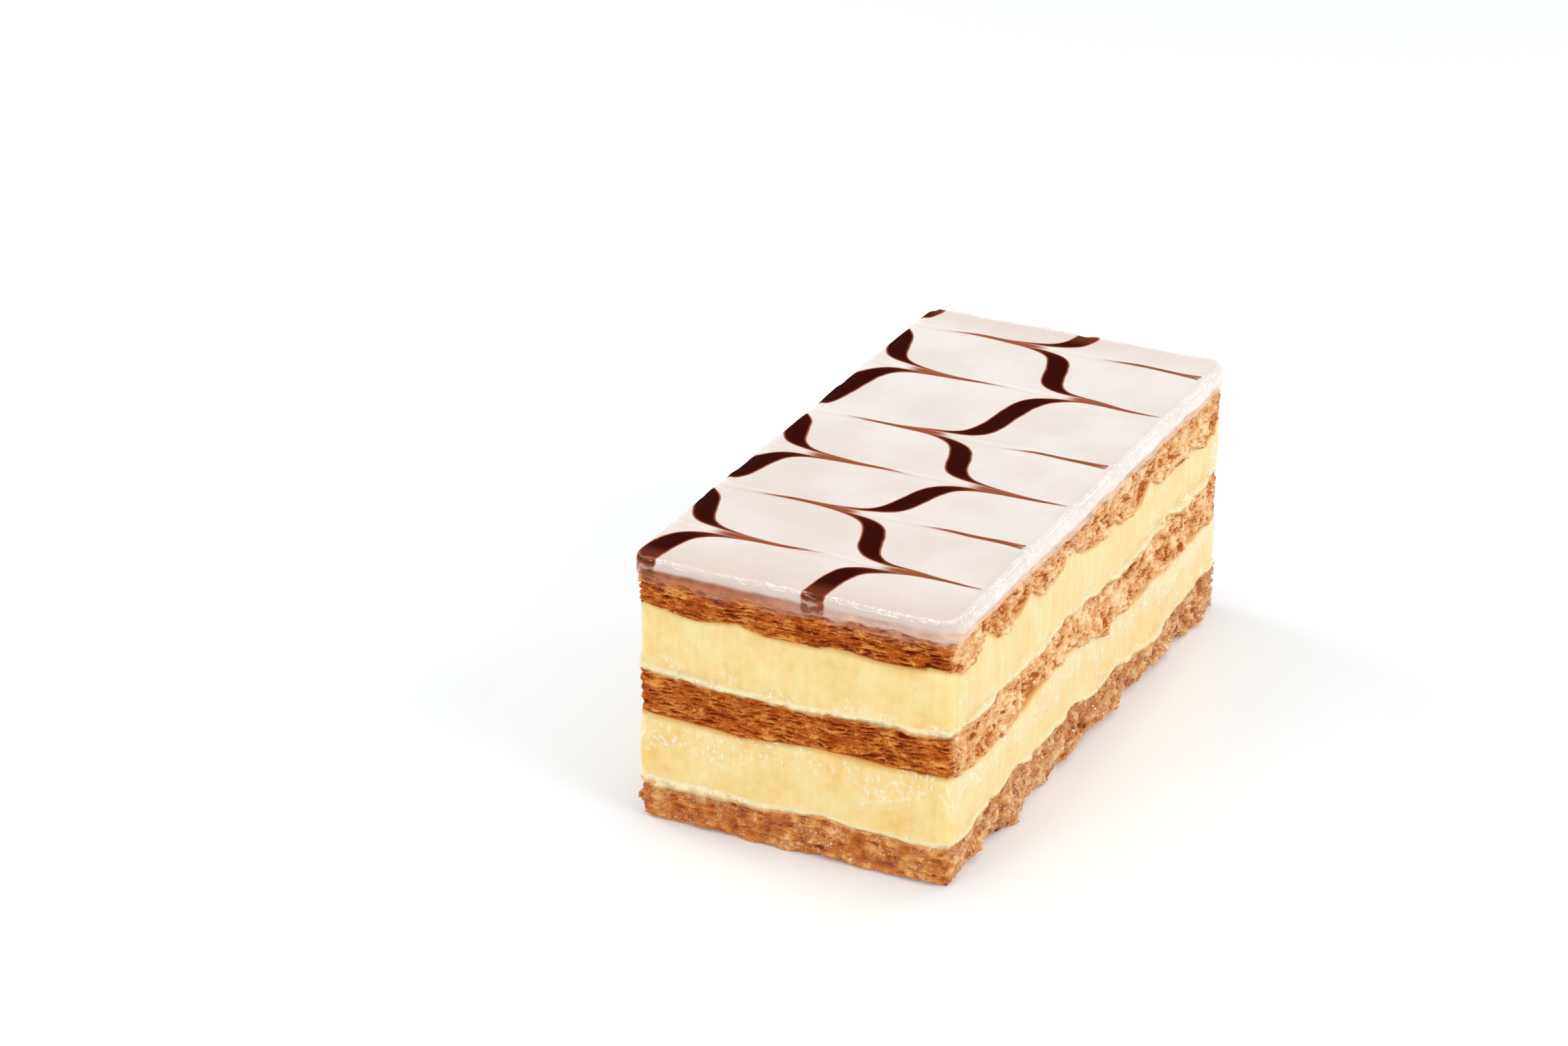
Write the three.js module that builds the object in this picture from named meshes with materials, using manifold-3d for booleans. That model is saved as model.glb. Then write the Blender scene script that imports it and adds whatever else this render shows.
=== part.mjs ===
// A mille feuille slice: three layers of flaky puff pastry, two of custard cream
// between them, and a sheet of white icing with feathered chocolate lines on top.
// Millimetres, +Z up. The origin is the middle of the footprint on the table, the
// short cut ends face -Y and +Y, and the long cut sides face -X and +X.
import * as THREE from "three";
import { mergeVertices } from "three/addons/utils/BufferGeometryUtils.js";
import Module from "manifold-3d";

const wasm = await Module();
wasm.setup();

// Driving dimensions of the cut slice
const width = 50;
const length = 102;
const height = 42.2;

// Mean heights of the surfaces between the layers, from the table up
const bottomPastryTop = 7.1;
const middlePastryBottom = 17.25;
const middlePastryTop = 24.4;
const topPastryBottom = 33.9;
const icingBottom = 40.1;
const icingRoll = 0.9; // how much lower the icing's rolled edge reaches on the long sides
const layerGap = 0.3; // left free between two layers, so that each is a solid of its own

// The waves of those surfaces show at the cut sides and level out this far inside
const waveDepth = 5;
const swellPitch = 15; // long, low swells along the sides
const swellShare = 0.7;
const ripplePitch = 5; // short ripples on the swells
const rippleShare = 0.3;
const endWaveShare = 0.4; // the short ends were cut cleaner than the long sides
const lobePitch = 15.2; // the top pastry hangs into the cream in rounded lobes
const lobeStart = 1.2;
const lobeDepth = 3.1;
const lobeRoundness = 0.75; // below 1, the lobes are fuller than a sine wave
const lobeEndShare = 0.25; // of that at the short ends
const footLift = 1.5; // how far the lowest edge of the slice curls off the table
const footEndShare = 0.35; // of that at the short ends
const cornerBlend = 3; // how far from a corner a long side's waves reach their full size

// Flaky leaves and crags of the pastry
const leafCount = 5;
const leafOut = 0.3; // how far a leaf stands out of the cut plane
const leafGapIn = 0.55; // how far the gap between two leaves lies behind it
const knobbedLeafShare = 0.55; // of both on the long sides, where knobs hide the leaves
const tearPitch = 6; // torn edges of a leaf: long tears and short nicks
const tearDepth = 0.4;
const nickPitch = 2.6;
const nickDepth = 0.3;
const leafWaver = 0.45; // how far a leaf's edge wanders up and down, in half leaf heights
const waverPitch = 10;
const cragPitch = 4.2; // knobs and pits along the long sides
const cragRows = 2.6; // knobs and pits over one layer's height
const cragDepth = 0.85;
const endTearShare = 0.45; // the tears of the clean cut ends, against the long sides'
const cornerRounding = 0.5; // what the knife took off the upright edges
const cornerReach = 1.6;
const icingCornerShare = 2.2; // the icing's corners are rounder than the knife left the rest

// Cream between the pastry
const creamSwellPitch = 19;
const creamSwell = 0.35;
const creamBelly = 0.3; // how far the cream stands out at mid height
const creamSetback = 0.15; // how far its edges lie behind the pastry's
const creamRings = [0, 0.5, 1]; // shares of its height

// Icing sheet and its chocolate lines, which stand out of it very slightly
const icingEdge = [
  // share of the thickness, how far it stands out of the cut plane
  [0, -0.3],
  [0.22, 0.45],
  [0.62, 0.5],
  [0.86, 0.1],
  [1, -0.9],
];
const chocolateRelief = 0.22;
const chocolateRoot = 0.6; // how deep a line is rooted in the icing
const bandWidth = 3.5;
const bandPitch = 26.8;
const firstBand = 1.2; // from the long side at -X
const bandCount = 3; // the last one lies past the other side, and only its tails show
const lastBandOut = 4.4; // how much further out it lies than the pitch would put it

// A pick is drawn across the soft icing, by turns towards +X and -X. It pulls the
// chocolate along by pull * reach / (distance + reach), from the pick's own line.
const pickLines = [12.3, 27.1, 42.5, 57.5, 78.2, 94.8]; // from the end at -Y
const pull = 22;
const reach = 0.42;
const pickRadius = 0.4; // nearer than this the pull no longer grows
const bandSteps = [0.4, 0.8, 1.6, 3.4]; // distances from a pick's line
const bandEnds = [-2, 1, 4, 8, length - 4, length + 2]; // places near the short ends, and past them

// Each part's noise starts from its own seed, and each use of it a step further on
const seeds = { bottomPastry: 100, lowerCream: 200, middlePastry: 300, upperCream: 400, topPastry: 500 };
const seedSteps = { row: 7.3, waver: 20, nick: 40, crag: 80 };

const sideStep = 2.8; // spacing of the points along the sides
const samePoint = 1e-4; // points nearer than this are one
const tiny = 1e-6;
const halfWidth = width / 2;
const halfLength = length / 2;
const perimeter = 2 * (width + length);

// Colours of the layers
const looks = {
  pastry: { color: 0xc98445, roughness: 0.75, metalness: 0 },
  cream: { color: 0xf6dfa0, roughness: 0.4, metalness: 0 },
  icing: { color: 0xf4ebe6, roughness: 0.3, metalness: 0 },
};

// Smooth noise along the outline

// An even scatter of values from 0 to 1, the same ones every time.
function hash(cell, seed) {
  const v = Math.sin(cell * 127.1 + seed * 311.7) * 43758.5453;
  return v - Math.floor(v);
}

// From -1 to 1. It repeats after the given number of cells, so it closes round the slice.
function noise(t, cells, seed) {
  const cell = Math.floor(t);
  const f = t - cell;
  const ease = f * f * (3 - 2 * f);
  const wrap = (i) => ((i % cells) + cells) % cells;
  const a = hash(wrap(cell), seed);
  const b = hash(wrap(cell + 1), seed);
  return 2 * (a + (b - a) * ease) - 1;
}

function aroundNoise(s, pitch, seed) {
  const cells = Math.round(perimeter / pitch);
  return noise((s / perimeter) * cells, cells, seed);
}

// The same with a second direction: v is a share of a layer's height.
function sideNoise(s, v, pitch, rows, seed) {
  const row = Math.floor(v * rows);
  const f = v * rows - row;
  const ease = f * f * (3 - 2 * f);
  const below = aroundNoise(s, pitch, seed + row * seedSteps.row);
  const above = aroundNoise(s, pitch, seed + (row + 1) * seedSteps.row);
  return below + (above - below) * ease;
}

function smoothstep(low, high, x) {
  const t = Math.min(1, Math.max(0, (x - low) / (high - low)));
  return t * t * (3 - 2 * t);
}

// The cut outline: a rectangle walked from its corner at -X, -Y

function outlineStations() {
  const sides = [
    { from: [-halfWidth, -halfLength], to: [halfWidth, -halfLength], out: [0, -1], long: false },
    { from: [halfWidth, -halfLength], to: [halfWidth, halfLength], out: [1, 0], long: true },
    { from: [halfWidth, halfLength], to: [-halfWidth, halfLength], out: [0, 1], long: false },
    { from: [-halfWidth, halfLength], to: [-halfWidth, -halfLength], out: [-1, 0], long: true },
  ];
  const stations = [];
  let walked = 0;
  for (const side of sides) {
    const sideLength = side.long ? length : width;
    const steps = Math.round(sideLength / sideStep);
    for (let i = 0; i < steps; i++) {
      const share = i / steps;
      const toCorner = sideLength * Math.min(share, 1 - share);
      const longShare = smoothstep(0, cornerBlend, toCorner);
      stations.push({
        side,
        share,
        isCorner: i === 0,
        s: walked + share * sideLength,
        x: side.from[0] + (side.to[0] - side.from[0]) * share,
        y: side.from[1] + (side.to[1] - side.from[1]) * share,
        toCorner,
        onLong: side.long ? longShare : 0,
      });
    }
    walked += sideLength;
  }
  return stations;
}

const stations = outlineStations();

// One closed ring of points, each moved out of the cut plane by its own offset. Near a
// corner a wall's points also move along it, with the wall round the corner.
function ring(offsetAt, heightAt) {
  const offsets = stations.map(offsetAt);
  const corners = stations.flatMap((p, i) => (p.isCorner ? [i] : []));
  return stations.map((p, i) => {
    const o = offsets[i];
    const z = heightAt(p, o);
    const here = corners.findLastIndex((c) => c <= i);
    const startOffset = offsets[corners[here]];
    const endOffset = offsets[corners[(here + 1) % 4]];
    const along = 2 * p.share - 1; // -1 at the start corner, 1 at the end corner
    const slide = (along < 0 ? -startOffset : endOffset) * along ** 4;
    const [tx, ty] = [-p.side.out[1], p.side.out[0]];
    return [p.x + p.side.out[0] * o + tx * slide, p.y + p.side.out[1] * o + ty * slide, z];
  });
}

// A layer: rings stacked up its sides, with a level middle above and below

function clampTo(limit, value) {
  return Math.min(limit, Math.max(-limit, value));
}

function innerRing(z) {
  const [x, y] = [halfWidth - waveDepth, halfLength - waveDepth];
  return stations.map((p) => [clampTo(x, p.x), clampTo(y, p.y), z]);
}

function layerGeometry(rings, lowZ, highZ) {
  const all = [innerRing(lowZ), ...rings, innerRing(highZ)];
  const triangles = [];
  const n = stations.length;
  for (let r = 0; r + 1 < all.length; r++) {
    for (let i = 0; i < n; i++) {
      const j = (i + 1) % n;
      const [a, b, c, d] = [all[r][i], all[r][j], all[r + 1][j], all[r + 1][i]];
      // The top is split along the same diagonals as the underside of the layer above it
      if (r + 2 === all.length) triangles.push([a, b, d], [b, c, d]);
      else triangles.push([a, b, c], [a, c, d]);
    }
  }
  triangles.push(...levelMiddle(all.at(-1), false), ...levelMiddle(all[0], true));
  const same = (a, b) => a.every((v, k) => Math.abs(v - b[k]) < tiny);
  const solid = triangles.filter(([a, b, c]) => !same(a, b) && !same(b, c) && !same(a, c));
  return solidOf(new Float32Array(solid.flat(2)));
}

function levelMiddle(points, facingDown) {
  const outline = [];
  for (const p of points) {
    const last = outline.at(-1);
    if (!last || last[0] !== p[0] || last[1] !== p[1]) outline.push(p);
  }
  const [first, last] = [outline[0], outline.at(-1)];
  if (first[0] === last[0] && first[1] === last[1]) outline.pop();
  const flat = outline.map((p) => new THREE.Vector2(p[0], p[1]));
  const faces = THREE.ShapeUtils.triangulateShape(flat, []);
  return faces.map((f) => {
    const [a, b, c] = f.map((k) => outline[k]);
    return facingDown ? [a, c, b] : [a, b, c];
  });
}

// Booleans

function solidOf(positions) {
  const loose = new THREE.BufferGeometry();
  loose.setAttribute("position", new THREE.BufferAttribute(positions, 3));
  const merged = mergeVertices(loose, samePoint);
  const vertProperties = merged.attributes.position.array;
  const triVerts = new Uint32Array(merged.index.array);
  return new wasm.Manifold(new wasm.Mesh({ numProp: 3, vertProperties, triVerts }));
}

function solidOfGeometry(geometry) {
  const plain = geometry.index ? geometry.toNonIndexed() : geometry;
  return solidOf(plain.getAttribute("position").array);
}

function toGeometry(solid) {
  const made = solid.getMesh();
  const geometry = new THREE.BufferGeometry();
  geometry.setAttribute("position", new THREE.BufferAttribute(made.vertProperties, 3));
  geometry.setIndex(new THREE.BufferAttribute(made.triVerts, 1));
  geometry.computeVertexNormals();
  return geometry;
}

function mesh(name, solid, look) {
  const made = new THREE.Mesh(toGeometry(solid), new THREE.MeshStandardMaterial(look));
  made.name = name;
  return made;
}

// The surfaces between the layers

function swell(p, amplitude, seed) {
  const share = endWaveShare + (1 - endWaveShare) * p.onLong;
  const long = swellShare * aroundNoise(p.s, swellPitch, seed);
  const short = rippleShare * aroundNoise(p.s, ripplePitch, seed + 1);
  return amplitude * share * (long + short);
}

function lobes(p) {
  const bulge = Math.abs(Math.sin((Math.PI * (p.s - lobeStart)) / lobePitch)) ** lobeRoundness;
  return -lobeDepth * (bulge - 0.5) * (lobeEndShare + (1 - lobeEndShare) * p.onLong);
}

function footCurl(p) {
  const share = footEndShare + (1 - footEndShare) * p.onLong;
  return footLift * share * (0.5 + 0.5 * aroundNoise(p.s, ripplePitch, 3));
}

// Height of each surface, and its wave: the swells' height and the seed of their noise
const surfaces = {
  foot: { z: 0, wave: footCurl },
  bottomPastryTop: { z: bottomPastryTop, wave: (p) => swell(p, 2.9, 2946) },
  middlePastryBottom: { z: middlePastryBottom, wave: (p) => swell(p, 2.0, 2209) },
  middlePastryTop: { z: middlePastryTop, wave: (p) => swell(p, 1.4, 695) },
  topPastryBottom: { z: topPastryBottom, wave: (p) => lobes(p) + swell(p, 2.4, 1631) },
  icingBottom: { z: icingBottom, wave: (p) => swell(p, 0.5, 51) - icingRoll * p.onLong },
};

// Height of a surface where a ring meets it. The wave fades evenly towards the middle,
// so the two layers that share the surface never cross.
function surfaceHeight(surface, p, offset, gapSide) {
  return surface.z + surface.wave(p) * (1 + offset / waveDepth) + (gapSide * layerGap) / 2;
}

// Pastry

function cornerCut(p) {
  return -cornerRounding * Math.exp(-((p.toCorner / cornerReach) ** 2));
}

function pastryOffset(p, v, seed) {
  const leafPhase = v * leafCount;
  const leaf = Math.floor(leafPhase + tiny);
  const atGap = Math.abs(leafPhase - Math.round(leafPhase)) < tiny;
  const tornShare = endTearShare + (1 - endTearShare) * p.onLong;
  const tears = tearDepth * aroundNoise(p.s, tearPitch, seed + leaf);
  const nicks = nickDepth * aroundNoise(p.s, nickPitch, seed + leaf + seedSteps.nick);
  const crag = cragDepth * sideNoise(p.s, v, cragPitch, cragRows, seed + seedSteps.crag) * p.onLong;
  const leafShare = 1 + (knobbedLeafShare - 1) * p.onLong;
  const step = (atGap ? -leafGapIn : leafOut) * leafShare;
  return step + (tears + nicks) * tornShare + crag + cornerCut(p);
}

function pastryLayer(name, low, high, seed) {
  const rows = 2 * leafCount;
  const rings = [];
  for (let r = 0; r <= rows; r++) {
    const v = r / rows;
    const heightAt = (p, offset) => {
      if (r === 0) return surfaceHeight(low, p, offset, low.z > 0 ? 1 : 0);
      if (r === rows) return surfaceHeight(high, p, offset, -1);
      const [from, to] = [surfaceHeight(low, p, 0, 1), surfaceHeight(high, p, 0, -1)];
      const waver = leafWaver * aroundNoise(p.s, waverPitch, seed + seedSteps.waver + r);
      return from + ((to - from) * (r + waver)) / rows;
    };
    rings.push(ring((p) => pastryOffset(p, v, seed), heightAt));
  }
  const lowMiddle = low.z + (low.z > 0 ? layerGap / 2 : 0);
  return mesh(name, layerGeometry(rings, lowMiddle, high.z - layerGap / 2), looks.pastry);
}

// Cream

function creamOffset(p, v, seed) {
  const belly = creamBelly * (1 - (2 * v - 1) ** 2);
  const swelling = creamSwell * aroundNoise(p.s, creamSwellPitch, seed);
  return belly + swelling + cornerCut(p) - creamSetback;
}

function creamLayer(name, low, high, seed) {
  const rings = creamRings.map((v) =>
    ring(
      (p) => creamOffset(p, v, seed),
      (p, offset) => {
        const from = surfaceHeight(low, p, offset, 1);
        return from + (surfaceHeight(high, p, offset, -1) - from) * v;
      },
    ),
  );
  const middle = [low.z + layerGap / 2, high.z - layerGap / 2];
  return mesh(name, layerGeometry(rings, ...middle), looks.cream);
}

// Icing

function icingSheet(extra) {
  const rings = icingEdge.map(([share, out]) =>
    ring(
      (p) => out + extra + cornerCut(p) * icingCornerShare,
      (p, offset) => {
        const from = surfaceHeight(surfaces.icingBottom, p, offset, 1);
        return from + (height + extra - from) * share;
      },
    ),
  );
  return layerGeometry(rings, icingBottom + layerGap / 2, height + extra);
}

function pulled(y) {
  return pickLines.reduce((sum, line, k) => {
    const distance = Math.max(pickRadius, Math.abs(y - line));
    const way = k % 2 === 0 ? 1 : -1;
    return sum + (way * pull * reach) / (distance + reach);
  }, 0);
}

// The places along the slice where a line's outline gets a point.
function bandPlaces() {
  const places = [...bandEnds];
  for (const line of pickLines) places.push(line, ...bandSteps.flatMap((d) => [line - d, line + d]));
  for (let k = 0; k + 1 < pickLines.length; k++) places.push((pickLines[k] + pickLines[k + 1]) / 2);
  return places.sort((a, b) => a - b);
}

function chocolateBand(middle) {
  const places = bandPlaces();
  const edge = (side) => places.map((y) => new THREE.Vector2(middle + side * (bandWidth / 2) + pulled(y), y));
  const outline = new THREE.Shape([...edge(1), ...edge(-1).reverse()]);
  const band = new THREE.ExtrudeGeometry(outline, {
    depth: chocolateRoot + 2 * chocolateRelief,
    bevelEnabled: false,
  });
  band.translate(-halfWidth, -halfLength, height - chocolateRoot);
  return solidOfGeometry(band);
}

function icing() {
  let bands = chocolateBand(firstBand);
  for (let k = 1; k < bandCount; k++) {
    const extra = k === bandCount - 1 ? lastBandOut : 0;
    bands = bands.add(chocolateBand(firstBand + k * bandPitch + extra));
  }
  const whole = icingSheet(0).add(bands.intersect(icingSheet(chocolateRelief)));
  return mesh("icing", whole, looks.icing);
}

// The slice

const slice = new THREE.Group();
slice.name = "mille_feuille_slice";
slice.add(
  pastryLayer("pastry_bottom", surfaces.foot, surfaces.bottomPastryTop, seeds.bottomPastry),
  creamLayer("cream_lower", surfaces.bottomPastryTop, surfaces.middlePastryBottom, seeds.lowerCream),
  pastryLayer("pastry_middle", surfaces.middlePastryBottom, surfaces.middlePastryTop, seeds.middlePastry),
  creamLayer("cream_upper", surfaces.middlePastryTop, surfaces.topPastryBottom, seeds.upperCream),
  pastryLayer("pastry_top", surfaces.topPastryBottom, surfaces.icingBottom, seeds.topPastry),
  icing(),
);

export default slice;
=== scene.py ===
# Mille feuille slice: flaky puff pastry, custard cream and feathered icing.
# Lengths in the dictionaries are millimetres; meshes are made in metres.
import math

import bpy
import numpy as np
from mathutils import Matrix, Vector


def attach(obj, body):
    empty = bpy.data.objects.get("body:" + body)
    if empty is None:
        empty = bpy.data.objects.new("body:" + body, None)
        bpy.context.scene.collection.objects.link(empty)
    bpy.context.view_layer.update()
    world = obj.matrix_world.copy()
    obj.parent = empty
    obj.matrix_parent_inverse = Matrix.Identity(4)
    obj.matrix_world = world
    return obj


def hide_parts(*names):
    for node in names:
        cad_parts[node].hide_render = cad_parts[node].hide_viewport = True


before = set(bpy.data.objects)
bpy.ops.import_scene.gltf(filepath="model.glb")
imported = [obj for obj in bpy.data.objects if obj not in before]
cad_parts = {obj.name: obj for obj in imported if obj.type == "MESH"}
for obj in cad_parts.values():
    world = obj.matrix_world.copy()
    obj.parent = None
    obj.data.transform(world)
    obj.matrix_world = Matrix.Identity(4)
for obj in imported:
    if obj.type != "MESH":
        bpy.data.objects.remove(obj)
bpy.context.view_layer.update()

mm = 0.001
perMetre = 1000.0

# The cut slice: the same sizes and waves as its solids

cut = {
    "width": 50,
    "length": 102,
    "height": 42.2,
    "bottomPastryTop": 7.1,
    "middlePastryBottom": 17.25,
    "middlePastryTop": 24.4,
    "topPastryBottom": 33.9,
    "icingBottom": 40.1,
    "icingRoll": 0.9,
    "waveDepth": 5,
    "swellPitch": 15,
    "ripplePitch": 5,
    "endWaveShare": 0.4,
    "lobePitch": 15.2,
    "lobeStart": 1.2,
    "lobeDepth": 3.1,
    "lobeEndShare": 0.25,
    "footLift": 1.5,
    "footEndShare": 0.35,
    "cornerRounding": 0.5,
    "cornerReach": 1.6,
    "layerCorner": 0.7,  # radius that the layers' rings turn with
    "rimIn": 0.6,  # from the sides to the level middle
    "longFade": 3,  # from a corner to the full roughness of a long side
}
runningFilm = {
    "steps": (1, 0.88, 0.75, 0.62, 0.5, 0.38, 0.25, 0.12),  # shares of the way down
    "startAbove": 0.12,  # over the edge of the pastry below
    "tuckIn": 1.2,
    "rowsCovered": 2,
}
halfWidth = cut["width"] / 2
halfLength = cut["length"] / 2
perimeter = 2 * (cut["width"] + cut["length"])


def hashAt(cell, seed):
    v = np.sin(cell * 127.1 + seed * 311.7) * 43758.5453
    return v - np.floor(v)


def ease(t):
    t = np.clip(t, 0, 1)
    return t * t * (3 - 2 * t)


def aroundNoise(s, pitch, seed):  # -1 to 1, closes round the slice
    cells = round(perimeter / pitch)
    t = s / perimeter * cells
    cell = np.floor(t)
    a = hashAt(cell % cells, seed)
    b = hashAt((cell + 1) % cells, seed)
    return 2 * (a + (b - a) * ease(t - cell)) - 1


def aroundShare(s, pitch, seed):  # 0 to 1
    return 0.5 + 0.5 * aroundNoise(s, pitch, seed)


def sideNoise(s, v, pitch, rows, seed):
    row = np.floor(v * rows)
    below = aroundNoise(s, pitch, seed + row * 7.3)
    above = aroundNoise(s, pitch, seed + (row + 1) * 7.3)
    return below + (above - below) * ease(v * rows - row)


def swell(at, amplitude, seed):
    share = cut["endWaveShare"] + (1 - cut["endWaveShare"]) * at["onLong"]
    wave = 0.7 * aroundNoise(at["s"], cut["swellPitch"], seed)
    wave = wave + 0.3 * aroundNoise(at["s"], cut["ripplePitch"], seed + 1)
    return amplitude * share * wave


def lobes(at):
    turn = math.pi * (at["s"] - cut["lobeStart"]) / cut["lobePitch"]
    bulge = np.abs(np.sin(turn)) ** 0.75
    share = cut["lobeEndShare"] + (1 - cut["lobeEndShare"]) * at["onLong"]
    return -cut["lobeDepth"] * (bulge - 0.5) * share


def footCurl(at):
    share = cut["footEndShare"] + (1 - cut["footEndShare"]) * at["onLong"]
    return cut["footLift"] * share * aroundShare(at["s"], cut["ripplePitch"], 3)


surfaces = {
    "foot": (0, footCurl),
    "bottomPastryTop": (cut["bottomPastryTop"], lambda at: swell(at, 2.9, 2946)),
    "middlePastryBottom": (cut["middlePastryBottom"], lambda at: swell(at, 2.0, 2209)),
    "middlePastryTop": (cut["middlePastryTop"], lambda at: swell(at, 1.4, 695)),
    "topPastryBottom": (cut["topPastryBottom"], lambda at: lobes(at) + swell(at, 2.4, 1631)),
    "icingBottom": (cut["icingBottom"], lambda at: swell(at, 0.5, 51) - cut["icingRoll"] * at["onLong"]),
}


def walkOutline(spacing, corner):
    # Points round the cut slice, each with the middle of its corner circle and its way out.
    nx = round((cut["width"] - 2 * corner) / spacing)
    ny = round((cut["length"] - 2 * corner) / spacing)
    arc = max(4, round(1.6 * corner / spacing))
    x, y = halfWidth - corner, halfLength - corner
    sides = [((-x, -y), (x, -y), nx), ((x, -y), (x, y), ny), ((x, y), (-x, y), nx), ((-x, y), (-x, -y), ny)]
    centre, angle, s, toCorner, isLong = [], [], [], [], []
    walked = 0
    for k, (start, end, steps) in enumerate(sides):
        sideLength = cut["length"] if k % 2 else cut["width"]
        out = -math.pi / 2 + k * math.pi / 2
        for i in range(steps + 1):
            t = i / steps
            centre.append((start[0] + (end[0] - start[0]) * t, start[1] + (end[1] - start[1]) * t))
            angle.append(out)
            here = corner + (sideLength - 2 * corner) * t
            s.append(walked + here)
            toCorner.append(min(here, sideLength - here))
            isLong.append(k % 2)
        for i in range(1, arc):
            t = i / arc
            centre.append(end)
            angle.append(out + t * math.pi / 2)
            here = corner * (2 * t - 1)
            s.append(walked + sideLength + here)
            toCorner.append(abs(here))
            isLong.append(k % 2 if here < 0 else 1 - k % 2)
        walked += sideLength
    centre, angle, s = np.array(centre), np.array(angle), np.array(s) % perimeter
    toCorner, isLong = np.array(toCorner), np.array(isLong)
    return {
        "centre": centre,
        "out": np.stack([np.cos(angle), np.sin(angle)], 1),
        "corner": corner,
        "s": s,
        "toCorner": toCorner,
        "onLong": isLong * ease(toCorner / cut["longFade"]),
        "sides": (nx, ny, arc),
    }


def ringAt(at, offset, z):
    xy = at["centre"] + at["out"] * np.reshape(at["corner"] + offset, (-1, 1))
    return np.column_stack([xy, np.broadcast_to(z, len(xy))])


def cornerCut(at):
    return -cut["cornerRounding"] * np.exp(-((at["toCorner"] / cut["cornerReach"]) ** 2))


def surfaceHeight(name, at, offset):
    z, wave = surfaces[name]
    return z + wave(at) * (1 + offset / cut["waveDepth"])


# Meshes

def meshFrom(name, points, faces, attributes):
    mesh = bpy.data.meshes.new(name)
    mesh.from_pydata((np.asarray(points) * mm).tolist(), [], faces)
    for key, (kind, values) in attributes.items():
        layer = mesh.attributes.new(key, kind, "POINT")
        field = "vector" if kind == "FLOAT_VECTOR" else "value"
        layer.data.foreach_set(field, np.asarray(values, dtype=np.float32).ravel())
    mesh.polygons.foreach_set("use_smooth", [True] * len(mesh.polygons))
    mesh.update()
    thing = bpy.data.objects.new(name, mesh)
    bpy.context.scene.collection.objects.link(thing)
    return thing


def stripFaces(count, rings):
    faces = []
    for r in range(rings - 1):
        for i in range(count):
            j = (i + 1) % count
            faces.append((r * count + i, r * count + j, (r + 1) * count + j, (r + 1) * count + i))
    return faces


def layerBlank(name, low, high, spacing, rowHeight, offsetAt, overlap=(0.0, 0.0), hang=None):
    # A layer cut clean: its sides as rings from the bottom up, and its level middles.
    at = walkOutline(spacing, cut["layerCorner"])
    rim = -cut["rimIn"]
    rows = round((surfaces[high][0] - surfaces[low][0]) / rowHeight)
    count = len(at["s"])
    inner = np.column_stack([at["centre"] * [0.8, 0.9], np.zeros(count)])
    rings, masks, shares, films = [], [], [], []

    def add(ring, mask, share, film=0.0):
        rings.append(ring)
        masks.append(np.full(count, mask))
        shares.append(np.full(count, share))
        films.append(np.full(count, film))

    lowMiddle = surfaces[low][0] - overlap[0]
    highMiddle = surfaces[high][0] + overlap[1]
    add(inner + [0, 0, lowMiddle], 0, 0)
    add(ringAt(at, rim, surfaceHeight(low, at, rim) - overlap[0]), 0, 0)
    zLow = surfaceHeight(low, at, 0) - overlap[0]
    zHigh = surfaceHeight(high, at, 0) + overlap[1]
    firstRow = 0
    if hang:  # a thin film that ran down over the layer below, and starts above its edge
        drop, out = hang(at, 1)
        add(ringAt(at, out - runningFilm["tuckIn"], zLow - drop), 0, 0, 1.0)
        for t in runningFilm["steps"]:
            drop, out = hang(at, t)
            add(ringAt(at, out, zLow - drop), 1, 0, t)
        firstRow = runningFilm["rowsCovered"]
        drop, out = hang(at, 0)
        start = np.maximum(out, offsetAt(at, firstRow / rows))
        add(ringAt(at, start, zLow + overlap[0] + runningFilm["startAbove"]), 1, 0)
    for r in range(firstRow, rows + 1):
        v = r / rows
        add(ringAt(at, offsetAt(at, v), zLow + (zHigh - zLow) * v), 1, v)
    add(ringAt(at, rim, surfaceHeight(high, at, rim) + overlap[1]), 0, 1)
    add(inner + [0, 0, highMiddle], 0, 1)

    total = len(rings)
    faces = stripFaces(count, total)
    faces.append(tuple(reversed(range(count))))
    faces.append(tuple(range((total - 1) * count, total * count)))
    mask = np.concatenate(masks)
    out = np.column_stack([np.tile(at["out"], (total, 1)), np.zeros(total * count)])
    attributes = {
        "outward": ("FLOAT_VECTOR", out * mask[:, None]),
        "sideMask": ("FLOAT", mask),
        "longSide": ("FLOAT", np.tile(at["onLong"], total)),
        "layerShare": ("FLOAT", np.concatenate(shares)),
        "film": ("FLOAT", np.concatenate(films)),
    }
    return meshFrom(name, np.concatenate(rings), faces, attributes)


# Node helpers: a field stands for a node's output, so that shading and relief read as sums

class Field:
    def __init__(self, socket):
        self.socket = socket
        self.tree = socket.id_data
        self.isVector = socket.type in ("VECTOR", "RGBA")

    def __add__(self, other):
        return calc("ADD", self, other)

    def __radd__(self, other):
        return calc("ADD", other, self)

    def __sub__(self, other):
        return calc("SUBTRACT", self, other)

    def __rsub__(self, other):
        return calc("SUBTRACT", other, self)

    def __mul__(self, other):
        byVector = isinstance(other, tuple) or getattr(other, "isVector", False)
        return calc("SCALE" if self.isVector and not byVector else "MULTIPLY", self, other)

    def __truediv__(self, other):
        return calc("DIVIDE", self, other)

    def __rtruediv__(self, other):
        return calc("DIVIDE", other, self)

    def clamped(self):  # to between 0 and 1
        self.socket.node.use_clamp = True
        return self


def setSockets(node, values):
    for key, value in values.items():
        if isinstance(value, Field):
            value.tree.links.new(value.socket, node.inputs[key])
        else:
            node.inputs[key].default_value = value


def newNode(tree, kind, inputs=None, **settings):
    node = tree.nodes.new(kind)
    for name, value in settings.items():
        setattr(node, name, value)
    setSockets(node, inputs or {})
    return node


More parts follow.
